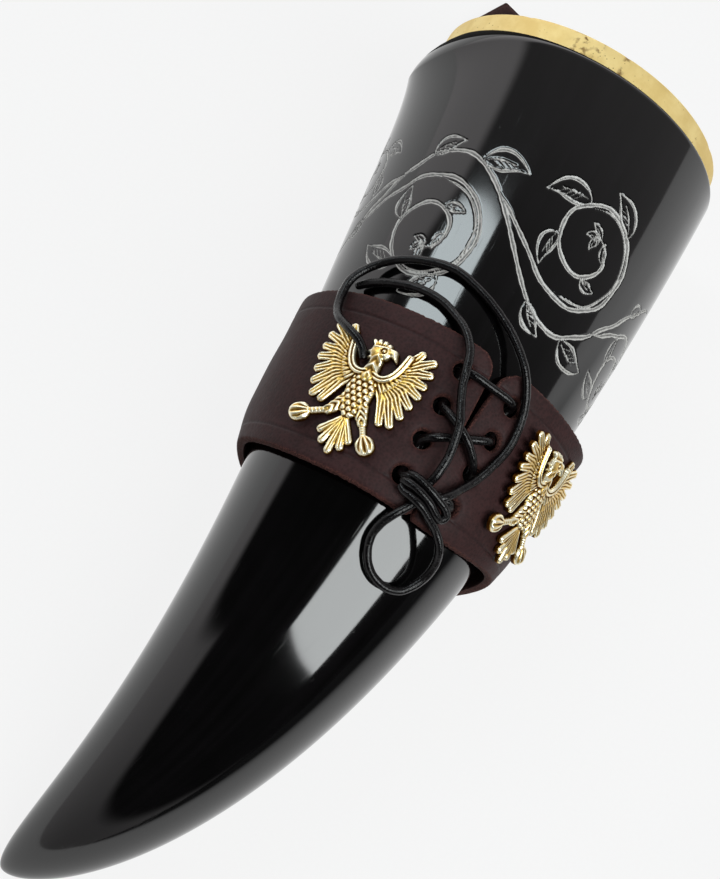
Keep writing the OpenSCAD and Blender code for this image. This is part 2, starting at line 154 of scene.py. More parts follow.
def cut(points, width):
    """A groove along a line, which thins out at both ends and wavers as a hand does."""
    points = np.asarray(points, float)
    along = run_of(points)
    t = np.arange(0.0, along[-1], 0.1)
    narrow = np.clip(np.minimum(t, along[-1] - t) / 5.0, 0.3, 1.0)
    shaky = 1.0 + 0.14 * np.sin(0.8 * t + 3.1 * points[0, 0]) + 0.08 * np.sin(2.3 * t + points[0, 1])
    wander = 0.14 * np.sin(0.6 * t + 5.0 * points[0, 1])
    across = np.interp(t, along, points[:, 0]) + wander
    down = np.interp(t, along, points[:, 1]) + wander
    scroll_cuts.append(stacked(across, down, width / 2 * narrow * shaky))


def leaf(base, ahead, outward, lean, size):
    """A pointed leaf that springs from a stem, leans out from it and bends back along it."""
    way = np.asarray(ahead) * math.cos(lean) + np.asarray(outward) * math.sin(lean)
    bend = -0.9 * math.copysign(1.0, ahead[0] * outward[1] - ahead[1] * outward[0])
    t = np.linspace(0.0, 1.0, 26)
    way = math.atan2(way[1], way[0]) + bend * t
    rib = np.asarray(base) + size / 26 * np.cumsum(stacked(np.cos(way), np.sin(way)), axis=0)
    if abs(rib[-1, 0]) > scroll_end:
        return
    off = (0.21 * size * np.sin(math.pi * t ** 0.75))[:, None] * stacked(-np.sin(way), np.cos(way))
    cut(rib + off, 0.85)
    cut(rib - off, 0.85)
    cut(rib[2:18], 0.65)
    for k in range(5, min(17, 5 + int(size / 1.2)), 3):
        cut([rib[k], rib[k + 5] + math.copysign(0.75, bend) * off[k + 5]], 0.55)


def scroll_stem(across):
    return stacked(across, scroll_mid + scroll_swing * np.sin(2 * math.pi * across / scroll_wave))


def heading_at(line, k):
    ahead = line[k + 1] - line[k - 1]
    return ahead / np.linalg.norm(ahead)


cut(scroll_stem(np.linspace(-stem_end, stem_end, 400)), 1.0)
for middle, size, hand in volutes:
    under = math.copysign(1.0, math.sin(2 * math.pi * middle / scroll_wave))
    turns = np.radians(np.linspace(*volute_turns, volute_points))
    reach = size * np.linspace(*volute_reach, volute_points)
    heart = np.array([middle, scroll_mid - heart_off * under])
    volute = heart + stacked(hand * reach * np.cos(turns), under * reach * np.sin(turns))
    branch = scroll_stem(np.array([middle - hand * size * 0.34 * scroll_wave]))
    cut(np.concatenate([branch, volute[6:]]), 0.95)
    cut(volute[14:70] * 0.92 + 0.08 * heart, 0.5)
    for k, long, lean, way in volute_leaves:
        outward = way * (volute[k] - heart) / np.linalg.norm(volute[k] - heart)
        leaf(volute[k], heading_at(volute, k), outward, lean, size * long)
    tip = heading_at(volute, volute_points - 2)
    for lean in (-0.9, 0.0, 0.9):
        leaf(volute[-1], tip, np.array([-tip[1], tip[0]]), lean, 4.0 * size)
    for step, long in ((-7.5, 9.0), (5.0, 12.0)):
        stalk = scroll_stem(middle + hand * (step + np.array([-0.5, 0.0, 0.5])))
        if abs(stalk[1, 0]) < last_leaf:
            leaf(stalk[1], heading_at(stalk, 1), (0.0, under), 0.8, size * long)
scroll_cuts = np.concatenate(scroll_cuts)
scroll_tree = KDTree(len(scroll_cuts))
for k, point in enumerate(scroll_cuts):
    scroll_tree.insert((point[0], point[1], 0.0), k)
scroll_tree.balance()


def engraved(turn, down):
    """How deep each point is in a groove, from 0 at its edge to 1 at its middle, and a mask a little wider."""
    depth = np.zeros(turn.shape)
    mask = np.zeros(turn.shape)
    for i, j in np.argwhere((np.abs(turn) < scroll_turn) & (down > scroll_top) & (down < scroll_foot)):
        _, k, far = scroll_tree.find((turn[i, j] * scroll_r, down[i, j], 0.0))
        half = scroll_cuts[k, 2]
        depth[i, j] = 1.0 - far / half
        mask[i, j] = 0.5 + (half - far) / 0.5
    return np.clip(depth, 0.0, 1.0), np.clip(mask, 0.0, 1.0)


# Points lie close together where the scroll is, and wide apart elsewhere
fine_turn, coarse_turn, fine_down = 0.44, 4.0, 0.28
fine_turns = np.radians(np.arange(-100.1, 100.2, fine_turn))
coarse_turns = np.radians(np.arange(104.0, 257.0, coarse_turn))
horn_turns = np.concatenate([fine_turns, coarse_turns])
columns = len(horn_turns)
lip_side = bell(horn_turns - worn_at, worn_width)
bevel = lip_bevel + lip_worn * lip_side
fine_downs = np.arange(scroll_top, 76.6, fine_down)
lip_downs = [share * bevel for share in (0.0, 0.15, 0.3, 0.45, 0.6, 0.8, 1.0)]
lip_downs += [bevel + share * (scroll_top - bevel) for share in (0.03, 0.08, 0.15, 0.25, 0.4, 0.6, 0.8)]
even_downs = np.broadcast_to(fine_downs[:, None], (len(fine_downs), columns))
far_share = np.linspace(0.0, 1.0, 86)[1:-1]
mouth_s = station_at(-ring_proud, horn_turns, horn_r)
near_s = mouth_s + np.concatenate([lip_downs, even_downs])
far_s = horn_len - (horn_len - near_s[-1]) * (1.0 - far_share[:, None]) ** 1.7
outer_s = np.concatenate([near_s, far_s])
outer_turn = np.broadcast_to(horn_turns, outer_s.shape)
outer_down = outer_s - mouth_s
groove, pale = engraved(outer_turn, outer_down)
lip_in = (lip_drop + lip_worn_in * lip_side) * np.clip(1.0 - outer_down / bevel, 0.0, 1.0) ** 2
lip_out = lip_flare * lip_side * np.exp(-np.clip(outer_down - bevel, 0.0, None) / lip_fade)
outer = round_horn(outer_s, outer_turn, horn_r(outer_s) - lip_in + lip_out - groove_depth * groove)
seat_turn = stacked(-np.sin(horn_turns), np.cos(horn_turns)) * seat_r
seat = [np.concatenate([np.full((columns, 1), x), seat_turn], 1)
        for x in (-ring_proud - ring_seat, -ring_proud)]
hollow_s = station_at(-ring_proud - ring_seat, horn_turns, hollow_r)
share = np.sin(np.linspace(math.pi / 2, 0.0, 46)[1:])[:, None]
inner_s = hollow_s + (hollow_depth - hollow_s) * share
inner = round_horn(inner_s, np.broadcast_to(horn_turns, inner_s.shape), hollow_r(inner_s))
horn_rows = np.concatenate([inner, np.array(seat), outer])
poles = round_horn(np.array([hollow_depth, horn_len]), np.zeros(2), np.zeros(2))
horn_points = tilted(np.concatenate([horn_rows.reshape(-1, 3), poles]))


def grid_faces(rows, columns):
    """Quads over rows of points, each row closed on itself."""
    a = np.arange(rows * columns).reshape(rows, columns)
    b = np.roll(a, -1, axis=1)
    return stacked(a[:-1], a[1:], b[1:], b[:-1]).reshape(-1, 4).tolist()


def fan_faces(row, columns, pole, flip=False):
    """Triangles from a closed row of points to a pole."""
    first = row * columns
    pairs = [(first + k, first + (k + 1) % columns) for k in range(columns)]
    return [(b, a, pole) if flip else (a, b, pole) for a, b in pairs]


def placed(name, data):
    made = bpy.data.objects.new(name, data)
    bpy.context.scene.collection.objects.link(made)
    return made


def add_piece(name, points, faces, material, body, slot, *nodes, sharp=38.0, **fields):
    """A piece from points in millimetres, with values kept on its points, that moves with a body."""
    mesh = bpy.data.meshes.new(name)
    mesh.from_pydata((np.asarray(points) * MM).tolist(), [], faces)
    for field, values in fields.items():
        values = np.asarray(values, np.float32)
        vector = values.ndim == 2
        layer = mesh.attributes.new(field, "FLOAT_VECTOR" if vector else "FLOAT", "POINT")
        layer.data.foreach_set("vector" if vector else "value", values.ravel())
    shape = bmesh.new()
    shape.from_mesh(mesh)
    if shape.calc_volume(signed=True) < 0.0:
        bmesh.ops.reverse_faces(shape, faces=shape.faces)
    shape.to_mesh(mesh)
    shape.free()
    mesh.polygons.foreach_set("use_smooth", np.ones(len(mesh.polygons), bool))
    mesh.set_sharp_from_angle(angle=math.radians(sharp))
    mesh.update()
    mesh.materials.append(material)
    made = placed(name, mesh)
    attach(made, body)
    if nodes:
        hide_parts(*nodes)
    return made


class Shade:
    """A socket in a material's node tree, which takes part in sums."""

    def __init__(self, tree, socket=None):
        self.tree = tree
        self.socket = socket

    def node(self, kind, sockets=None, out=0, **settings):
        made = self.tree.nodes.new("ShaderNode" + kind)
        for name, value in settings.items():
            setattr(made, name, value)
        for name, value in (sockets or {}).items():
            if isinstance(value, Shade):
                self.tree.links.new(value.socket, made.inputs[name])
            else:
                made.inputs[name].default_value = value
        return Shade(self.tree, made.outputs[out] if made.outputs else None)

    def sum_of(self, operation, a, b):
        return self.node("Math", {0: a, 1: b}, operation=operation)

    def __add__(self, other):
        return self.sum_of("ADD", self, other)

    def __sub__(self, other):
        return self.sum_of("SUBTRACT", self, other)

    def __rsub__(self, other):
        return self.sum_of("SUBTRACT", other, self)

    def __mul__(self, other):
        return self.sum_of("MULTIPLY", self, other)

    __radd__ = __add__
    __rmul__ = __mul__

    def field(self, name, out=2):
        """A value kept on the points, or with out=1 a vector."""
        return self.node("Attribute", out=out, attribute_name=name)

    def place(self):
        """Where a point is on its piece."""
        return self.node("TexCoord", out=3)

    def stretched(self, across, along, deep):
        return self.node("VectorMath", {0: self, 1: (across, along, deep)}, operation="MULTIPLY")

    def noise(self, scale, detail=3.0, rough=0.55):
        return self.node("TexNoise", {"Vector": self, "Scale": scale, "Detail": detail, "Roughness": rough})

    def cells(self, scale):
        return self.node("TexVoronoi", {"Vector": self, "Scale": scale})

    def step(self, low, high):
        """A smooth mask that rises from 0 at one value to 1 at another."""
        sockets = {"Value": self, "From Min": low, "From Max": high}
        return self.node("MapRange", sockets, interpolation_type="SMOOTHSTEP")

    def between(self, zero, one):
        """The colour that a mask gives, from one at 0 to the other at 1."""
        return self.node("Mix", {0: self, 6: zero, 7: one}, 2, data_type="RGBA")

    def bump(self, strength, depth):
        return self.node("Bump", {"Height": self, "Strength": strength, "Distance": depth * MM})


def colour(red, green, blue):
    """A colour as it shows on a screen, 0 to 255, for a shader."""
    parts = [c / 255.0 for c in (red, green, blue)]
    return tuple(c / 12.92 if c < 0.04045 else ((c + 0.055) / 1.055) ** 2.4 for c in parts) + (1.0,)


def bare_tree(owner):
    """The node tree of a material or a world, emptied."""
    owner.use_nodes = True
    owner.node_tree.nodes.clear()
    return Shade(owner.node_tree)


def finish_of(name, paint):
    """A material whose shader takes the sockets that the paint gives it."""
    made = bpy.data.materials.new(name)
    start = bare_tree(made)
    shader = start.node("BsdfPrincipled", paint(start))
    start.node("OutputMaterial", {"Surface": shader})
    return made


def polished_horn(start):
    grain = start.field("grain", 1)
    groove = start.field("groove")
    cut_in = start.field("pale").step(0.36, 0.64)
    inside = start.field("inside")
    fibre = grain.stretched(420.0, 22.0, 1.0).noise(1.0, 4.0)
    cloud = start.place().noise(38.0, 3.0)
    black = (0.55 * fibre + 0.6 * cloud).step(0.4, 0.8).between(colour(2, 2, 2), colour(8, 7, 8))
    raw = (0.5 * fibre + 0.5 * cloud).step(0.35, 0.7).between(colour(34, 27, 23), colour(62, 48, 38))
    dust = start.place().noise(1300.0, 2.0).step(0.25, 0.75)
    # The groove's colour: its middle is painted darker as shade in the groove, with a little dust.
    groove_shade_and_dust = (0.8 * groove + 0.2 * dust).step(0.3, 0.85)
    groove_pale = groove_shade_and_dust.between(colour(186, 184, 180), colour(74, 72, 71))
    scratch = grain.stretched(2600.0, 60.0, 1.0).noise(1.0, 2.0).step(0.66, 0.74)
    specks = start.place().cells(260.0).step(0.03, 0.06)
    rough = 0.055 + 0.04 * cloud + 0.05 * scratch + 0.1 * (1.0 - specks)
    return {
        "Base Color": cut_in.between(inside.between(black, raw), groove_pale),
        "Roughness": rough + cut_in * 0.4 + inside * 0.28,
        "IOR": 1.62,
        "Normal": (0.6 * fibre + 0.4 * scratch + 0.3 * specks).bump(0.12, 0.05),
    }


def sawn_horn(start):
    saw_marks = start.place().stretched(2200.0, 260.0, 260.0).noise(1.0, 3.0)
    return {
        "Base Color": saw_marks.step(0.35, 0.7).between(colour(3, 3, 3), colour(12, 10, 10)),
        "Roughness": 0.7 + 0.2 * saw_marks,
        "Specular IOR Level": 0.05,
        "Normal": saw_marks.bump(0.3, 0.05),
    }


inside_rows = len(inner) + 2
inside = np.zeros(horn_rows.shape[:2])
inside[:inside_rows - 1] = 1.0
uncut = np.zeros(inside_rows * columns)
all_s = np.concatenate([inner_s, np.zeros((2, columns)), outer_s])
grain = stacked(np.broadcast_to(horn_turns * 30.0, all_s.shape), all_s, 0.0 * all_s) * MM
grain_poles = [[0.0, hollow_depth * MM, 0.0], [0.0, horn_len * MM, 0.0]]
last = len(horn_points) - 2
horn_faces = grid_faces(len(horn_rows), columns)
horn_faces += fan_faces(0, columns, last, True) + fan_faces(len(horn_rows) - 1, columns, last + 1)
horn = add_piece(
    "polished_horn", horn_points, horn_faces, finish_of("polished_horn", polished_horn),
    "horn", "horn", "horn_shell",
    pale=np.concatenate([uncut, pale.ravel(), [0.0, 0.0]]),
    groove=np.concatenate([uncut, groove.ravel(), [0.0, 0.0]]),
    inside=np.concatenate([inside.ravel(), [1.0, 0.0]]),
    grain=np.concatenate([grain.reshape(-1, 3), grain_poles]),
)
horn.data.materials.append(finish_of("sawn_horn", sawn_horn))
first_sawn, sawn_rows = inside_rows - 1, 5
for face in horn.data.polygons[first_sawn * columns:(first_sawn + sawn_rows) * columns]:
    face.material_index = 1

# The rim ring: turned from thick brass tube, glued into a step cut in the mouth.
# It stands proud of the horn, with its outer edges eased, and is satin from handling, with
# small dents and a few brown stains.
ring_r = 35.9826
ring_bore_r = 33.7826
ring_len = 13.5
ring_round = 0.7
ring_ease = 0.45
dented_from = -4.5
outside_rows, front_rows, bore_rows = (-9.5, -5.4, -3.6, -2.0), (35.0, 34.6), (-3.0, -8.0)


def edge_arc(x, r, radius, first, last_angle):
    a = np.radians(np.linspace(first, last_angle, 6))
    return [(x + radius * math.sin(k), r + radius * math.cos(k)) for k in a]


ring_profile = [(-ring_len, ring_bore_r), (-ring_len, ring_r)] + [(x, ring_r) for x in outside_rows]
ring_profile += edge_arc(-ring_round, ring_r - ring_round, ring_round, 0, 90)
ring_profile += [(0.0, r) for r in front_rows]
ring_profile += edge_arc(-ring_ease, ring_bore_r + ring_ease, ring_ease, 90, 180)
ring_profile += [(x, ring_bore_r) for x in bore_rows]
ring_turns = np.radians(np.arange(0.0, 360.0, 1.5))
ring_dents = ((9.0, 0.1, 1.2), (-32.0, 0.16, 1.0), (62.0, 0.12, 2.2), (150.0, 0.1, 2.0), (-110.0, 0.12, 1.8))
ring_stains = ((-8.0, 3.2), (-1.5, 1.0), (9.0, 0.8), (105.0, 8.0), (170.0, 5.0), (-130.0, 6.0))


def nearness(turns, at, width):
    off = (turns - math.radians(at) + math.pi) % (2 * math.pi) - math.pi
    return bell(off, math.radians(width))


dent = sum(deep * nearness(ring_turns, at, wide) for at, deep, wide in ring_dents)
ring_rows = []
for x, r in ring_profile:
    front = 1.0 if x > dented_from else 0.0
    sunk = r - front * dent * (1.0 if r > front_rows[0] else 0.2)
    sunk = sunk + front * 0.03 * np.sin(5 * ring_turns) * np.sin(2 * ring_turns + x)
    ring_rows.append(stacked(x - front * 0.6 * dent, -sunk * np.sin(ring_turns), sunk * np.cos(ring_turns)))
ring_rows.append(ring_rows[0])
ring_points = tilted(np.concatenate(ring_rows[:-1]))
ring_faces = [[k % len(ring_points) for k in face] for face in grid_faces(len(ring_rows), len(ring_turns))]
stained = sum(nearness(ring_turns, at, wide) for at, wide in ring_stains)


def satin_brass(start):
    place = start.place()
    turned = place.stretched(1.0, 60.0, 60.0).noise(60.0, 3.0)
    specks = place.cells(900.0)
    patch = place.noise(160.0, 4.0)
    stain = start.field("stained") * place.noise(420.0, 3.0).step(0.46, 0.6)
    fleck = (1.0 - specks.step(0.05, 0.16)) * patch.step(0.45, 0.6)
    clean = patch.step(0.3, 0.75).between(colour(228, 203, 136), colour(242, 223, 163))
    dirty = fleck.between(clean, colour(150, 112, 48))
    return {
        "Base Color": (0.85 * stain).between(dirty, colour(112, 72, 30)),
        "Metallic": 1.0,
        "Roughness": 0.58 + 0.12 * patch + 0.1 * stain + 0.1 * fleck,
        "Normal": (turned + 0.5 * patch - 0.7 * fleck).bump(0.25, 0.06),
    }


add_piece(
    "rim_ring_brass", ring_points, ring_faces, finish_of("satin_brass", satin_brass),
    "horn", "rim_brass", "rim_ring", stained=np.tile(stained, len(ring_profile)),
)

# The cuff: one strip of thick vegetable tanned leather, dyed a dark red brown and wrapped round the horn.
# Its ends meet at the laced seam, which gapes at the top. A line is pressed in along both edges,
# four holes are punched beside each end, and the raw edges and corners are left a little soft.
cuff_from_mouth = 78.0
cuff_h = 40.0
leather_t = 2.1
slack_top = 1.3
slack_low = 3.6
cuff_rise = 3.3
cuff_shift = 0.3
lacing_turn = math.radians(20.0)
seam_open = 3.2
seam_closed = 0.5
hole_r = 2.15
hole_spread = 14.0
hole_pitch = 8.8
crease_in = 4.6
top_corner = 4.5
low_corner = 1.6
edge_soft = 0.8
left_pull, seam_pull, slack_pull, slack_lift, top_flare = 2.0, 1.9, 1.0, 1.7, 1.5
sheet_step, sheet_reach = 0.55, 0.9

cuff_mid = cuff_from_mouth + cuff_h / 2
cuff_top_in = float(horn_r(cuff_from_mouth)) + slack_top
cuff_low_in = float(horn_r(cuff_from_mouth + cuff_h)) + slack_low
cuff_slope = (cuff_top_in - cuff_low_in) / cuff_h
cuff_cone = math.atan(cuff_slope)
cuff_out_r = (cuff_top_in + cuff_low_in) / 2 + leather_t
curl_axis = (0.0, -math.sin(curl_roll), -math.cos(curl_roll))
cuff_turned = Matrix.Rotation(float(np.interp(cuff_mid, walk, walk_heading)), 3, curl_axis)
cuff_centre = np.array([
    -np.interp(cuff_mid, walk, walk_run),
    np.interp(cuff_mid, walk, walk_bend) * math.cos(curl_roll),
    -np.interp(cuff_mid, walk, walk_bend) * math.sin(curl_roll),
])


def cuff_to_part(p):
    """From the cuff's own frame, with X along it towards the mouth, to the part's."""
    p = p + cuff_shift * np.array([0.0, -math.sin(lacing_turn), math.cos(lacing_turn)])
    return tilted(skewed(cuff_centre + p @ np.array(cuff_turned).T))


def on_cuff(x, turn, height):
    """A place on the cuff: along it, a turn from the seam, and a height above the leather."""
    r = cuff_out_r + cuff_slope * x + height
    a = lacing_turn + turn
    return cuff_to_part(stacked(x + 0.0 * r, -r * np.sin(a), r * np.cos(a)))


row_x = [hole_pitch * (k - 1.5) for k in range(4)]
sheet_round = 2 * math.pi * cuff_out_r
cuff_holes = [(side * hole_spread / 2 % sheet_round, x) for x in row_x for side in (-1, 1)]


def hole_distance(w, x):
    return np.min([np.hypot(w - hole_w, x - hole_x) for hole_w, hole_x in cuff_holes], axis=0) - hole_r


def cuff_distance(w, x):
    """Below zero inside the strip of leather, laid out flat."""
    gape = seam_closed / 2 + (seam_open - seam_closed) / 2 * np.clip(x, 0.0, None) / (cuff_h / 2 + 2.0)
    corner = np.where(x > 0.0, top_corner, low_corner)
    over_w = np.abs(w - sheet_round / 2) - (sheet_round / 2 - gape) + corner
    over_x = np.abs(x) - cuff_h / 2 + corner
    outside = np.hypot(np.clip(over_w, 0.0, None), np.clip(over_x, 0.0, None))
    strip = outside + np.clip(np.maximum(over_w, over_x), None, 0.0) - corner
    frayed = 0.07 * np.sin(3.1 * w + np.sin(1.7 * w)) + 0.05 * np.sin(7.3 * w + 2.0 * np.sin(2.3 * w))
    return np.maximum(strip + frayed * (np.abs(over_x - corner) < 1.5), -hole_distance(w, x))


def slab_faces(keep):
    """Faces of a sheet: kept cells of a grid above, the same cells below, and a wall round each edge."""
    rows, across = keep.shape[0] + 1, keep.shape[1] + 1
    count = rows * across
    ids = np.arange(count).reshape(rows, across)
    top = stacked(ids[:-1, :-1][keep], ids[1:, :-1][keep], ids[1:, 1:][keep], ids[:-1, 1:][keep])
    first = top.ravel()
    second = np.roll(top, -1, axis=1).ravel()
    alone = ~np.isin(first * count + second, second * count + first)
    first, second = first[alone], second[alone]
    walls = stacked(second, first, first + count, second + count)
    border = np.zeros(count, bool)
    border[first] = True
    border[second] = True
    return np.concatenate([top, top[:, ::-1] + count, walls]), border.reshape(rows, across)


def cut_sheet(us, vs, distance, reach):
    """A grid trimmed to an outline: places of its points, those on the border, and the faces of the slab."""
    u, v = np.meshgrid(us, vs)
    keep = distance((u[:-1, :-1] + u[1:, 1:]) / 2, (v[:-1, :-1] + v[1:, 1:]) / 2) < 0.0
    for _ in range(6):
        a, b, c, d = keep[:-1, :-1], keep[:-1, 1:], keep[1:, :-1], keep[1:, 1:]
        corner = (a & d & ~b & ~c) | (b & c & ~a & ~d)
        for part in (a, b, c, d):
            part |= corner
    faces, border = slab_faces(keep)
    near = 0.01
    for _ in range(3):
        far = distance(u, v)
        slope_u = (distance(u + near, v) - far) / near
        slope_v = (distance(u, v + near) - far) / near
        move = np.clip(np.where(border, far, 0.0), -reach, reach) / np.clip(slope_u ** 2 + slope_v ** 2, 0.2, None)
        u = u - move * slope_u
        v = v - move * slope_v
    return u, v, border, faces


def add_sheet(name, points, faces, material, slot, node, sharp=55.0, **fields):
    """A piece on the holder from a cut sheet, without the points that no face uses."""
    used = np.unique(faces)
    index = np.zeros(len(points), int)
    index[used] = np.arange(len(used))
    fields = {field: values[used] for field, values in fields.items()}
    add_piece(name, points[used], index[faces].tolist(), material, "holder", slot, node, sharp=sharp, **fields)


def edge_drop(edge):
    """How far the leather's face has rounded off, at a distance in from its edge."""
    return 0.6 * (edge_soft - np.sqrt(np.clip(edge_soft ** 2 - (edge_soft - edge) ** 2, 0.0, None)))


crease_at = cuff_h / 2 - crease_in
crease_rows = np.concatenate([np.arange(-1.0, 1.01, 0.2) + side * crease_at for side in (-1, 1)])
plain_rows = np.arange(-cuff_h / 2 - 0.6, cuff_h / 2 + 0.61, sheet_step)
plain_rows = plain_rows[np.min(np.abs(plain_rows[:, None] - crease_rows), axis=1) > 0.3]
sheet_rows = np.sort(np.concatenate([plain_rows, crease_rows]))
sheet_columns = np.linspace(0.0, sheet_round, 345)
cuff_w, cuff_x, _, cuff_faces = cut_sheet(sheet_columns, sheet_rows, cuff_distance, sheet_reach)
edge = np.clip(-cuff_distance(cuff_w, cuff_x), 0.0, edge_soft)
crease = bell(np.abs(cuff_x) - crease_at, 0.33)
pressed = np.exp(-np.clip(hole_distance(cuff_w, cuff_x), 0.0, None) / 0.9)
pucker = 0.12 * np.sin(0.23 * cuff_w + 0.3 * cuff_x) * np.sin(0.17 * cuff_x - 0.06 * cuff_w)
cuff_top = pucker - edge_drop(edge) - 0.18 * crease - 0.4 * pressed
raw_edge = 1.0 - edge / edge_soft
cuff_low = -leather_t + 0.25 * raw_edge
cuff_turn = cuff_w / cuff_out_r
from_top = (lacing_turn + cuff_turn + math.pi) % (2 * math.pi) - math.pi
low_share = np.clip(-cuff_x / (cuff_h / 2), 0.0, 1.0)
high_share = np.clip(cuff_x / (cuff_h / 2), 0.0, 1.0)


def beside(at, width):
    """How near the leather is to a turn from the top of the horn, both in degrees."""
    return bell(from_top - math.radians(at), math.radians(width))


pulled_in = left_pull * beside(-95.0, 45.0) * low_share ** 2 + seam_pull * beside(35.0, 38.0) * low_share ** 4
flared = top_flare * beside(85.0, 30.0) * high_share ** 2
slack_side = beside(105.0, 38.0) * low_share ** 2
pulled_in = pulled_in + slack_pull * slack_side
cuff_lift = cuff_x + cuff_rise * np.sin(from_top) ** 4 * low_share ** 2 + slack_lift * slack_side
cuff_points = np.concatenate([
    on_cuff(cuff_lift, cuff_turn, face - pulled_in + flared).reshape(-1, 3) for face in (cuff_top, cuff_low)
])


def grained_leather(dark, light, raw, crease_dark):
    """Dyed leather: fine pebbled grain, darker in the pressed lines, with raw fibre at its edges."""
    def paint(start):
        place = start.place()
        pebble = place.cells(1500.0)
        pores = place.noise(2600.0, 2.0)
        cloud = place.noise(70.0, 4.0)
        wrinkle = place.noise(420.0, 3.0)
        raw_mask = start.field("raw_edge").step(0.25, 0.8)
        line = start.field("crease")
        hide = (0.4 * cloud + 0.3 * wrinkle + 0.3 * pebble).step(0.28, 0.66).between(dark, light)
        hide = (0.35 * line).between(hide, crease_dark)
        fibre = place.noise(3400.0, 3.0)
        frayed = fibre.step(0.3, 0.7).between(crease_dark, raw)
        return {
            "Base Color": raw_mask.between(hide, frayed),
            "Roughness": 0.5 + 0.2 * wrinkle + 0.25 * raw_mask - 0.1 * line,
            "Specular IOR Level": 0.18,
            "Normal": (0.7 * pebble + 0.3 * pores + 0.5 * wrinkle + raw_mask * fibre * 2.0).bump(0.45, 0.12),
        }
    return paint


cuff_leather = grained_leather(colour(34, 17, 17), colour(52, 29, 29), colour(92, 56, 50), colour(20, 10, 11))
add_sheet(
    "cuff_leather", cuff_points, cuff_faces, finish_of("cuff_leather", cuff_leather),
    "cuff_leather", "leather_cuff",
    raw_edge=np.concatenate([raw_edge.ravel(), np.full(raw_edge.size, 0.6)]),
    crease=np.concatenate([crease.ravel(), 0.0 * crease.ravel()]),
)

# The eagles: two flat castings from one mould, in a gold coloured alloy, rubbed bright on the high
# edges, where they are painted paler still as a highlight, with dark lacquer left in the hollows and
# painted shade on their edge walls. Each has spread wings, a crested head turned to the right, and open
# feet, and is held by a post through the leather and a flat screw inside the cuff.
eagle_span = 28.0
eagle_back = 0.05
shoulder, elbow, wing_wrist = np.array([0.03, 0.125]), np.array([0.2, 0.05]), np.array([0.24, 0.36])
feather_tips = (
    (0.305, 0.43), (0.42, 0.4), (0.44, 0.3), (0.437, 0.2), (0.433, 0.11), (0.41, 0.01),
    (0.385, -0.09), (0.345, -0.185), (0.26, -0.2),
)
tail_tips = ((-0.135, -0.425), (-0.085, -0.5), (0.0, -0.555), (0.075, -0.5), (0.115, -0.43))
crest_tips = ((-0.088, 0.385), (-0.045, 0.4), (0.003, 0.4), (0.046, 0.388))
left_leg = ((-0.07, -0.15), (-0.155, -0.262), (-0.3, -0.336), (-0.352, -0.362), (-0.372, -0.373))
right_leg = ((0.07, -0.15), (0.143, -0.258), (0.208, -0.355), (0.25, -0.408), (0.26, -0.42))
beak_and_nape = (
    ((0.04, 0.335), (0.105, 0.343), 0.045, 0.036), ((0.105, 0.343), (0.155, 0.285), 0.036, 0.01),
    ((-0.05, 0.305), (-0.1, 0.286), 0.024, 0.01), ((-0.035, 0.265), (-0.078, 0.24), 0.02, 0.009),
)
body_half = 3.3
scale_w, scale_h = 1.5, 1.25
relief_step = 0.15


def limb(u, v, start, end, start_w, end_w):
    """Distance from a tapered limb with round ends, how far along it, how far across, and its half width."""
    start, end = np.asarray(start, float) * eagle_span, np.asarray(end, float) * eagle_span
    way = end - start
    t = np.clip(((u - start[0]) * way[0] + (v - start[1]) * way[1]) / (way @ way), 0.0, 1.0)
    off_u, off_v = u - start[0] - t * way[0], v - start[1] - t * way[1]
    half = eagle_span * (start_w + (end_w - start_w) * t)
    side = (off_v * way[0] - off_u * way[1]) / math.hypot(*way)
    return np.hypot(off_u, off_v) - half, t, side, half


def dome(d, half, low, high):
    """A rounded top that rises from its edge."""
    inner = np.clip(-d / half, 0.0, 1.0)
    return low + (high - low) * np.sqrt(np.clip(1.0 - (1.0 - inner) ** 2, 0.0, 1.0))


def wing_arm(t):
    return shoulder * (1 - t) ** 2 + elbow * 2 * t * (1 - t) + wing_wrist * t ** 2


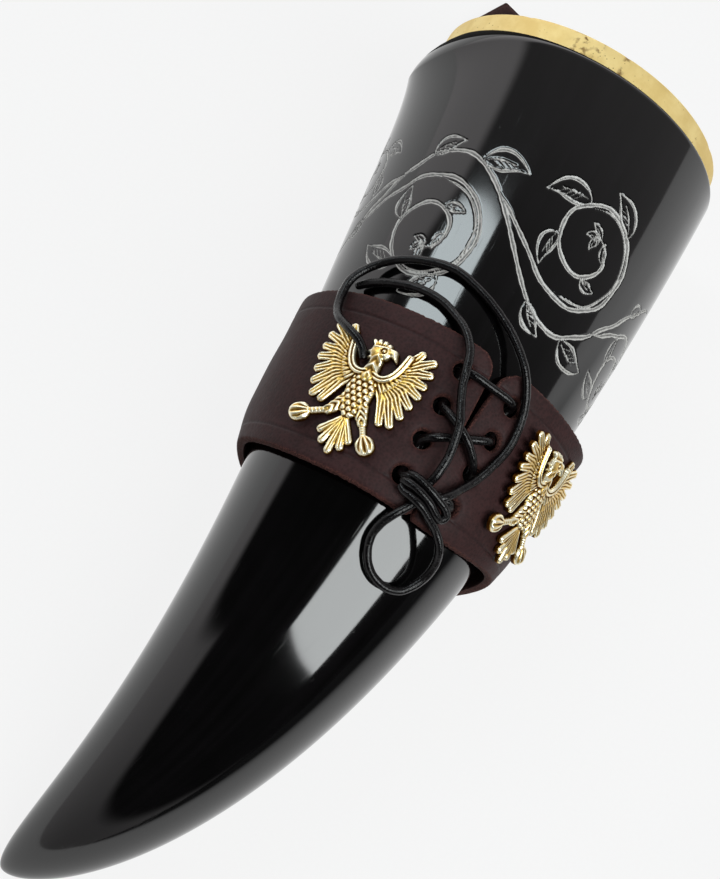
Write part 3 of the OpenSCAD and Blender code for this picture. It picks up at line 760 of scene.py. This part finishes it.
def eagle_shapes(u, v):
    """Each form of the eagle as its distance and its height. Places and widths are shares of its span."""
    shapes = []

    def form(d, half, low, high, detail=0.0):
        shapes.append((d, dome(d, half, low, high) + detail))

    for side in (-1.0, 1.0):
        for k, tip in enumerate(feather_tips):
            root = wing_arm(0.86 - 0.09 * k)
            middle = (root + tip) / 2 + (0.018, 0.026)
            d, _, _, half = limb(side * u, v, root, middle, 0.05, 0.046)
            form(d, half, 0.6, 0.75)
            for first, last, first_w, last_w, high in (
                (root, middle, 0.03, 0.043, 0.25), (middle, tip, 0.043, 0.036, 0.0),
            ):
                d, t, across, half = limb(side * u, v, first, last, first_w, last_w)
                rim = bell(np.abs(across) / half - 0.72, 0.2)
                form(d, half, 0.7, 1.05, 0.3 * rim + 0.22 * bell(across, 0.2 * half) + high * (1 - t))
        for k in range(8):
            root = wing_arm(0.86 - 0.09 * k)
            way = np.array(feather_tips[k]) - root
            d, _, across, half = limb(side * u, v, root, root + 0.26 * way, 0.032, 0.022)
            form(d, half, 1.2, 1.7, -0.35 * bell(across, 0.2))
            d, _, across, half = limb(side * u, v, wing_arm(k / 8.0), wing_arm((k + 1) / 8.0), 0.031, 0.031)
            form(d, half, 1.5, 2.2, -0.45 * bell(across, 0.2))
    for hip, knee, ankle, heel, toe in (left_leg, right_leg):
        d, t, across, half = limb(u, v, hip, knee, 0.07, 0.044)
        form(d, half, 0.9, 1.8, 0.18 * np.sin(15.0 * t + 3.0 * np.cos(2.4 * across)))
        d, t, _, half = limb(u, v, knee, ankle, 0.03, 0.03)
        form(d, half, 0.8, 1.5, 0.1 * np.sin(34.0 * t))
        d, _, _, half = limb(u, v, ankle, heel, 0.034, 0.06)
        form(d, half, 0.8, 1.5)
        _, spread, across, _ = limb(u, v, ankle, toe, 0.03, 0.03)
        d, _, _, half = limb(u, v, heel, toe, 0.078, 0.078)
        form(d, half, 1.0, 1.75, -0.16 * np.cos(4.4 * across / (0.35 + 0.65 * spread)) * (d < -0.4))
    for tip in tail_tips:
        d, _, across, half = limb(u, v, (0.15 * tip[0], -0.28), tip, 0.026, 0.036)
        form(d, half, 0.8, 1.5, -0.32 * (bell(across, 0.2) + 0.5 * bell(np.abs(across) / half - 0.55, 0.15)))
    body = (np.hypot(u / body_half, (v + 1.5) / 6.2) - 1.0) * body_half
    row = np.floor(v / scale_h)
    scale_u = ((u / scale_w + 0.5 * (row % 2)) % 1.0 - 0.5) * scale_w
    scale_v = v / scale_h - row - 0.35
    scales = np.clip(1.0 - np.hypot(scale_u / 0.8, scale_v / 0.75) ** 2, 0.0, 1.0)
    form(body, body_half, 1.0, 1.9, 0.5 * scales)
    d, t, across, half = limb(u, v, (0.0, 0.1), (0.0, 0.28), 0.07, 0.052)
    form(d, half, 1.2, 2.2, 0.2 * np.sin(14.0 * t + 2.2 * np.abs(across)))
    d, _, _, half = limb(u, v, (-0.022, 0.305), (0.03, 0.317), 0.07, 0.062)
    eye = bell(np.hypot(u - 0.75, v - 9.2) - 0.55, 0.2)
    form(d, half, 1.3, 2.3, 0.25 * bell(v - 9.95 - 0.2 * u, 0.25) - 0.45 * eye)
    for first, last, first_w, last_w in beak_and_nape:
        d, _, _, half = limb(u, v, first, last, first_w, last_w)
        form(d, half, 1.2, 2.0)
    for tip in crest_tips:
        d, _, across, half = limb(u, v, (0.5 * tip[0], 0.335), tip, 0.024, 0.021)
        form(d, half, 1.2, 2.0, -0.25 * bell(across, 0.18))
    return shapes


def eagle_distance(u, v):
    return np.min([d for d, _ in eagle_shapes(u, v)], axis=0)


def soften(field, passes):
    for _ in range(passes):
        around = sum(np.roll(field, step, axis) for axis in (0, 1) for step in (1, -1))
        field = (around + 2 * field) / 6
    return field


figure_us = np.arange(-14.6, 14.61, relief_step)
figure_vs = np.arange(-16.8, 13.9, relief_step)
eagle_u, eagle_v, eagle_border, eagle_faces = cut_sheet(figure_us, figure_vs, eagle_distance, relief_step)
eagle_top = np.max([np.where(d < 0.02, h, 0.55) for d, h in eagle_shapes(eagle_u, eagle_v)], axis=0)
eagle_top = np.where(eagle_border, 0.4, np.maximum(eagle_top, 0.6))
eagle_top = soften(eagle_top, 1)
hollow = np.clip((soften(eagle_top, 12) - eagle_top) / 0.24, -1.0, 1.0)
eagle_across, eagle_up = np.tile(eagle_u.ravel(), 2), np.tile(eagle_v.ravel(), 2)
eagle_heights = np.concatenate([eagle_back + eagle_top.ravel(), np.full(eagle_top.size, eagle_back)])
# The casting's edge walls and underside take full lacquer here, as painted shade.
eagle_hollow_and_edge_shade = np.concatenate([np.where(eagle_border, 0.5, hollow).ravel(), np.ones(hollow.size)])


def antiqued_gold(start):
    place = start.place()
    hollow = start.field("hollow")
    cloud = place.noise(320.0, 3.0)
    pits = place.noise(2400.0, 2.0)
    # Dark lacquer in the hollows, and painted shade on the edge walls and underside.
    lacquer_and_edge_shade = (hollow + 0.5 * cloud - 0.25).step(-0.08, 0.32)
    # Rubbed bright on the high points, and lightened almost to white there as a painted highlight.
    rubbed_and_highlight = (0.0 - hollow + 0.3 * cloud).step(0.15, 0.6)
    gold = rubbed_and_highlight.between(colour(228, 188, 98), colour(255, 249, 220))
    return {
        "Base Color": lacquer_and_edge_shade.between(gold, colour(78, 44, 8)),
        "Metallic": 1.0,
        "Roughness": 0.3 + 0.15 * cloud + 0.15 * lacquer_and_edge_shade,
        "Normal": (pits + 0.5 * cloud).bump(0.3, 0.05),
    }


def at_eagle(x, turn, spin, across, up, height):
    """A place on a flat casting that touches the leather at its middle."""
    a = lacing_turn + turn
    along = up * math.cos(spin) + across * math.sin(spin)
    off = up * math.sin(spin) - across * math.cos(spin)
    lean_x = along * math.cos(cuff_cone) - height * math.sin(cuff_cone)
    lean_z = along * math.sin(cuff_cone) + height * math.cos(cuff_cone)
    r = cuff_out_r + cuff_slope * x + lean_z
    side, high = off * math.cos(a) - r * math.sin(a), off * math.sin(a) + r * math.cos(a)
    return cuff_to_part(stacked(x + lean_x, side, high))


gold_finish = finish_of("antiqued_gold", antiqued_gold)
for name, x, turn, spin in (("left", -1.0, -39.0, 0.0), ("right", 2.0, 43.0, 7.0)):
    points = at_eagle(x, math.radians(turn), math.radians(spin), eagle_across, eagle_up, eagle_heights)
    add_sheet(
        f"eagle_casting_{name}", points, eagle_faces, gold_finish, "eagle_gold", f"eagle_{name}",
        sharp=70.0, hollow=eagle_hollow_and_edge_shade,
    )


def dull_brass(start):
    place = start.place()
    cloud = place.noise(500.0, 3.0)
    turned = place.noise(2200.0, 2.0)
    return {
        "Base Color": cloud.step(0.3, 0.7).between(colour(150, 118, 62), colour(205, 172, 104)),
        "Metallic": 1.0,
        "Roughness": 0.32 + 0.2 * cloud,
        "Normal": turned.bump(0.2, 0.04),
    }


def dress(finish, *names):
    """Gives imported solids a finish."""
    for name in names:
        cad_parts[name].data.materials.clear()
        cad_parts[name].data.materials.append(finish)


fastener_finish = finish_of("dull_brass", dull_brass)
dress(fastener_finish, "eagle_left_screw", "eagle_right_screw")

# The lace: one length of round black leather cord, 2 mm thick, waxed and cracked from bending.
# It runs up the four rows of holes, crosses itself over the seam, and is tied at the lowest row
# in a half bow with one loop and two long ends.
lace_r = 1.0
lace_on = 1.15
lace_over = 3.3
lace_in = -2.5
lace_through = -leather_t / 2
hole_turn = math.degrees(hole_spread / 2 / cuff_out_r)
bend_turn = 3.0
near_turn = hole_turn - bend_turn
knot_turn = 2.5
bend_in = 1.8
bend_out = 1.3
cord_sides = 14


def smooth_path(points, gap):
    """A smooth curve through points, in even steps."""
    t = run_of(points, 0.6)
    slope = np.gradient(points, t, axis=0)
    fine = np.linspace(0.0, t[-1], 40 * len(points))
    k = np.clip(np.searchsorted(t, fine, "right") - 1, 0, len(t) - 2)
    span = (t[k + 1] - t[k])[:, None]
    f = (fine - t[k])[:, None] / span
    curve = (
        (1 + 2 * f) * (1 - f) ** 2 * points[k] + f * (1 - f) ** 2 * span * slope[k]
        + f ** 2 * (3 - 2 * f) * points[k + 1] + f ** 2 * (f - 1) * span * slope[k + 1]
    )
    along = run_of(curve)
    even = np.linspace(0.0, along[-1], max(8, int(along[-1] / gap)))
    return np.stack([np.interp(even, along, curve[:, axis]) for axis in range(3)], -1)


def cord_tube(path):
    """A round lace along a path, a little uneven, with eased ends, and where each point is along and round it."""
    tangent = np.gradient(path, axis=0)
    tangent /= np.linalg.norm(tangent, axis=1)[:, None]
    u = np.cross(tangent[0], (0.3, 0.2, 1.0))
    along = run_of(path)
    ring = np.radians(np.arange(cord_sides) * 360.0 / cord_sides)
    rows, lay = [], []
    for k, way in enumerate(tangent):
        u = u - way * (way @ u)
        u /= np.linalg.norm(u)
        w = np.cross(way, u)
        end = min(k, len(path) - 1 - k)
        size = lace_r * (0.86 if end == 0 else 1.0) * (1.0 + 0.02 * math.sin(1.9 * along[k]))
        rows.append(path[k] + size * (np.cos(ring)[:, None] * u + np.sin(ring)[:, None] * w))
        lay.append(stacked(np.full(cord_sides, along[k]), np.cos(ring), np.sin(ring)))
    count = len(path)
    points = np.concatenate(rows + [path[:1], path[-1:]])
    lay = np.concatenate(lay + [[[0.0, 0.0, 0.0]], [[along[-1], 0.0, 0.0]]])
    pole = count * cord_sides
    faces = grid_faces(count, cord_sides)
    faces += fan_faces(0, cord_sides, pole, True) + fan_faces(count - 1, cord_sides, pole + 1)
    return points, faces, lay, along[-1]


def waxed_cord(start):
    lay = start.field("lay", 1)
    crack = lay.stretched(2.6, 1.1, 1.1).noise(1.0, 3.0, 0.65)
    rings = lay.stretched(5.5, 0.7, 0.7).noise(1.0, 1.0)
    dry = crack.step(0.56, 0.72)
    return {
        "Base Color": dry.between(colour(7, 6, 7), colour(24, 20, 19)),
        "Roughness": 0.11 + 0.3 * dry,
        "Specular IOR Level": 0.3,
        "Normal": (crack + 0.8 * rings).bump(0.5, 0.18),
    }


cord_finish = finish_of("waxed_cord", waxed_cord)


def add_lace(name, route, node, gap=0.55):
    """Lace along a route on the cuff: the piece, its path and its length."""
    route = np.array(route, float)
    path = smooth_path(on_cuff(route[:, 0], np.radians(route[:, 1]), route[:, 2]), gap)
    points, faces, lay, length = cord_tube(path)
    made = add_piece(name, points, faces, cord_finish, "holder", "lace_leather", node, lay=lay)
    return made, path, length


def through(k, side):
    return [row_x[k], side * hole_turn, lace_through]


def inner_run(a, b, side):
    step = bend_in if b > a else -bend_in
    return [
        through(a, side), [row_x[a] + step, side * hole_turn, lace_in],
        [row_x[b] - step, side * hole_turn, lace_in], through(b, side),
    ]


def crossing(a, b, side, height):
    return [
        [row_x[a] + bend_out, side * near_turn, lace_on], [(row_x[a] + row_x[b]) / 2, 0.0, height],
        [row_x[b] - bend_out, -side * near_turn, lace_on],
    ]


weave_route = (
    [[row_x[0], -knot_turn, lace_on], [row_x[0], -near_turn, lace_on]] + inner_run(0, 1, -1)
    + crossing(1, 2, -1, lace_on) + inner_run(2, 3, 1)
    + [[row_x[3], near_turn, lace_on], [row_x[3], 0.0, lace_on], [row_x[3], -near_turn, lace_on]]
    + inner_run(3, 2, -1) + crossing(1, 2, 1, lace_over)[::-1] + inner_run(1, 0, 1)
    + [[row_x[0], near_turn, lace_on], [row_x[0], knot_turn, lace_on]]
)
add_lace("lace_weave_cord", weave_route, "lace_weave")

# The knot: both ends of the lace, passed round each other on the lowest row and pulled flat. Two strands
# lie side by side across the seam, over the loose ends, and the bow's loop comes back beside them.
knot_route = [
    [-12.6, -9.6, 0.6], [-12.9, -7, 2.2], [-13.7, -2.5, 3.3], [-14.6, 2.5, 3.4], [-15.3, 7, 2.9], [-16.2, 9.2, 2.2],
    [-17.4, 8.4, 1.7], [-17.3, 5, 2.6], [-16.3, 0.5, 3.5], [-15.4, -4.5, 3.3], [-14.9, -8.5, 2.4],
    [-14.8, -10.6, 1.2],
]
add_lace("lace_knot_strand", knot_route, "lace_knot", 0.4)

# The loose lace: the long end sweeps up over the cuff and the horn and back down on to the leather,
# the short end lies under it, and the loop of the half bow lies over the cuff's lower edge on the horn.
long_route = [
    [-14.5, 3.2, 3], [-13.5, 4.2, 3.2], [-12, 6, 2.9], [-9.5, 8.5, 2], [-6, 12, 1.3], [-1, 15, 1.2], [5.5, 17, 1.2],
    [12.5, 15, 1.2], [17, 11.5, 1.2], [21, 6.5, 1.1], [25, 0, -0.3], [28.5, -9, -1.4], [31.3, -20, -1.9],
    [33, -32, -1.8], [32.2, -44, -1.6], [30, -55.5, -1.3], [26.5, -63, -0.4], [22.5, -66, 0.9],
    [18.5, -65.9, 1.3], [15.6, -64.6, 1.5], [13.3, -62, 2.1], [11.6, -58.6, 2.9], [10.4, -55, 3.3],
    [9.3, -51.2, 3.4], [8.2, -47.8, 2.8], [6.8, -45.4, 1.8], [5, -43.9, 1.25],
]
short_route = [
    [-13.9, -2.4, 1.2], [-12, -2.1, 2], [-10.6, -1.9, 3], [-8.4, -1.9, 3.7], [-6, -2, 4], [-2, -3.3, 4.5],
    [1.8, -5, 4.7], [5.5, -7.4, 3.8], [9.2, -9.8, 3.4], [13, -11.5, 3.4], [16.5, -13, 2.7], [19, -15.2, 1.8],
    [21.3, -18.5, 0.8], [23.3, -23.5, -0.6], [25.2, -31, -1.6], [25.8, -40, -1.9], [25.2, -50, -1.9],
    [23.8, -60, -1.8], [22.4, -66.5, -1.7],
]
bow_route = [
    [-16.6, -1.8, 1.15], [-17.8, -2.9, 0.9], [-19.4, -4.3, 0.6], [-21.3, -6.1, 0.2], [-24.1, -8.2, -1.4],
    [-27.2, -8.7, -3.6], [-30.6, -5.7, -5.35], [-33.3, 0.5, -6.2], [-34.2, 9.9, -6.35], [-32.7, 18.3, -6.1],
    [-28.7, 22.5, -4.45], [-24.9, 20.6, -2], [-21.7, 15, 0.3], [-19.6, 9.4, 0.9], [-19, 5.5, 1.8],
    [-18.4, 2, 2.6], [-17.8, -1.8, 3.3], [-17.2, -5.5, 2.6], [-16.7, -8.4, 1.5], [-15.9, -10.2, 1.1],
]
for name, route, far_end in (
    ("lace_long_end", long_route, "bare"), ("lace_short_end", short_route, "bare"),
    ("lace_bow_loop", bow_route, "object"),
):
    cord, path, length = add_lace(f"{name}_cord", route, name)
    tuple(path[0] * MM)
    length * MM
    (path * MM).tolist()

# The hanging strap: a long flat tongue of the same leather, cut to a point, that lies under the horn.
# Its tail is riveted to the cuff from below, and a hole near its point goes over a hook or peg.
strap_w = 22.0
strap_t = 2.6
strap_tail, strap_tip = -16.0, 148.0
strap_at = np.array([-103.703, -3.4695])
strap_top = -37.4116
strap_lean = math.radians(14.3)
point_left, point_right = math.radians(42.0), math.radians(58.0)
tail_round = 6.0
hang_hole_r = 4.0
hang_hole_in = 20.0
strap_crease_in = 2.2
rivet_recess_r = 4.1
rivet_recess = 1.0
strap_step, strap_edge_step = 0.8, 0.3


def strap_distance(x, y):
    body = np.abs(y) - strap_w / 2
    point_half = np.where(y > 0.0, point_left, point_right)
    point = (x - strap_tip) * np.sin(point_half) + np.abs(y) * np.cos(point_half)
    over_x = strap_tail + tail_round - x
    over_y = np.abs(y) - strap_w / 2 + tail_round
    tail = np.hypot(np.clip(over_x, 0.0, None), np.clip(over_y, 0.0, None)) - tail_round
    outline = np.maximum(np.maximum(body, point), np.maximum(tail, strap_tail - x))
    return np.maximum(outline, hang_hole_r - np.hypot(x - strap_tip + hang_hole_in, y))


strap_us = np.arange(strap_tail - strap_step, strap_tip + 0.9, strap_step)
strap_vs = np.sort(np.concatenate([
    np.arange(-8.4, 8.41, strap_step),
    np.arange(-11.6, -8.5, strap_edge_step), np.arange(8.8, 11.7, strap_edge_step),
]))
strap_x, strap_y, _, strap_faces = cut_sheet(strap_us, strap_vs, strap_distance, sheet_reach)
strap_in = np.clip(-strap_distance(strap_x, strap_y), 0.0, None)
strap_edge = np.clip(strap_in, 0.0, edge_soft)
strap_line = bell(strap_in - strap_crease_in, 0.35)
strap_soft = edge_drop(strap_edge)
strap_high = strap_top - strap_soft - 0.3 * strap_line
strap_low = strap_top - strap_t + 0.4 * strap_soft
strap_flat = strap_at + stacked(
    strap_x * math.cos(strap_lean) - strap_y * math.sin(strap_lean),
    strap_x * math.sin(strap_lean) + strap_y * math.cos(strap_lean),
)
for name in ("front_rivet_cap", "rear_rivet_cap"):
    low, high = (np.array(corner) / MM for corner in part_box(name))
    cap_at = ((low + high) / 2)[:2]
    strap_low = strap_low + rivet_recess * (np.linalg.norm(strap_flat - cap_at, axis=-1) < rivet_recess_r)
strap_points = np.concatenate([
    np.concatenate([strap_flat, height[..., None]], -1).reshape(-1, 3) for height in (strap_high, strap_low)
])
strap_leather = grained_leather(colour(38, 20, 19), colour(56, 33, 31), colour(76, 46, 40), colour(20, 10, 11))
add_sheet(
    "hanging_strap_leather", strap_points, strap_faces, finish_of("strap_leather", strap_leather),
    "strap_leather", "hanging_strap",
    raw_edge=np.tile((1.0 - strap_edge / edge_soft).ravel(), 2),
    crease=np.concatenate([strap_line.ravel(), 0.0 * strap_line.ravel()]),
)

# The rivets: two brass tubes with flat heads inside the cuff, which go through cuff and strap and are
# closed over flat caps. The caps are let into the strap's underside, so that it lies flat.
dress(fastener_finish, "front_rivet", "front_rivet_cap", "rear_rivet", "rear_rivet_cap")

# The floor: a seamless sheet of white paper under the horn, lit almost to white. Out of the picture, to the
# right of the tip, it turns dark grey, as the polish mirrors it.
floor_half = 4.0
floor_z = (strap_top - strap_t) * MM
floor_mesh = bpy.data.meshes.new("paper_floor")
corners = [(-1, -1), (1, -1), (1, 1), (-1, 1)]
floor_mesh.from_pydata([(x * floor_half, y * floor_half, floor_z) for x, y in corners], [], [(0, 1, 2, 3)])
floor = placed("paper_floor", floor_mesh)
paper = bpy.data.materials.new("white_paper")
start = bare_tree(paper)
floor_x, floor_y = (start.node("SeparateXYZ", {0: start.place()}, k) for k in range(2))
near_side = start.sum_of("MAXIMUM", floor_y.step(-0.24, -0.08), floor_x.step(-0.1, 0.05))
fibre = start.place().noise(900.0, 3.0).step(0.2, 0.8).between(colour(176, 176, 176), colour(184, 184, 184))
matt = start.node("BsdfPrincipled", {
    "Base Color": near_side.between(colour(50, 50, 50), fibre), "Roughness": 1.0, "Specular IOR Level": 0.0,
})
glow = start.node("Emission", {"Color": (1.0, 1.0, 1.0, 1.0), "Strength": 1.0})
direct, mirrored, through_glass = (
    start.node("LightPath", out=f"Is {kind} Ray") for kind in ("Camera", "Glossy", "Transmission")
)
seen = 0.85 * direct + 0.9 * near_side * (mirrored + through_glass)
sheet = start.node("MixShader", {0: seen, 1: matt, 2: glow})
start.node("OutputMaterial", {"Surface": sheet})
floor_mesh.materials.append(paper)

# The light: a dark studio with a low white surround, and two soft boxes, one on each side of the horn,
# whose reflections run along the polish as two pale streaks.
world = bpy.data.worlds.new("studio")
bpy.context.scene.world = world
start = bare_tree(world)
toward = start.node("TexCoord", out="Generated")
toward_x, toward_y, toward_z = (start.node("SeparateXYZ", {0: toward}, k) for k in range(3))
surround_top = (0.5 + 0.5 * toward_y) * start.sum_of("MINIMUM", 0.32 + 7.0 * toward_x * toward_x, 0.82) - 0.1
surround = 1.0 - (toward_z - surround_top).step(-0.08, 0.06)
above = 0.02 + 0.6 * toward_x.step(0.0, 0.9)
brightness = above + (0.8 + 0.5 * toward_x) * surround
glow = start.node("Background", {"Color": (1.0, 0.97, 0.98, 1.0), "Strength": brightness})
start.node("OutputWorld", {"Surface": glow})


def turn_to(made, right, up, back, at):
    made.matrix_world = Matrix([(right[k], up[k], back[k], at[k]) for k in range(3)] + [(0, 0, 0, 1)])


def soft_box(name, at, aim, width, length, power, tint):
    lamp = bpy.data.lights.new(name, "AREA")
    lamp.shape = "RECTANGLE"
    lamp.size = width
    lamp.size_y = length
    lamp.energy = power
    lamp.color = tint
    back = np.array(at) - np.array(aim)
    back = back / np.linalg.norm(back)
    side = np.cross((1.0, 0.0, 0.0), back)
    side = side / np.linalg.norm(side)
    up = np.cross(back, side)
    turn_to(placed(name, lamp), side, up, back, at)


soft_box("near_box", (-0.42, -0.81, 1.0), (-0.13, 0.0, 0.03), 1.3, 0.62, 19.0, (0.96, 1.0, 1.0))
soft_box("far_box", (0.16, 0.65, 1.13), (-0.06, 0.0, 0.03), 0.78, 0.26, 5.2, (0.87, 0.97, 1.0))

# The camera: a long lens above the horn and to its side, as the photograph was taken. Its place was fitted
# to the ellipse of the rim and to both edges of the horn and the cuff.
camera = bpy.data.cameras.new("camera")
camera.sensor_fit = "HORIZONTAL"
camera.sensor_width = 36.0
camera.lens = 132.1145
camera.clip_start = 0.01
camera.clip_end = 20.0
viewer = placed("camera", camera)
view_right = (0.47857816, -0.8701915, 0.11717377)
view_up = (0.80541267, 0.48820857, 0.33609943)
view_back = (-0.34967611, -0.06647661, 0.93450922)
view_at = (-0.30897829, -0.03469364, 0.55924992)
turn_to(viewer, view_right, view_up, view_back, view_at)
bpy.context.scene.camera = viewer
bpy.context.scene.view_settings.view_transform = "Standard"
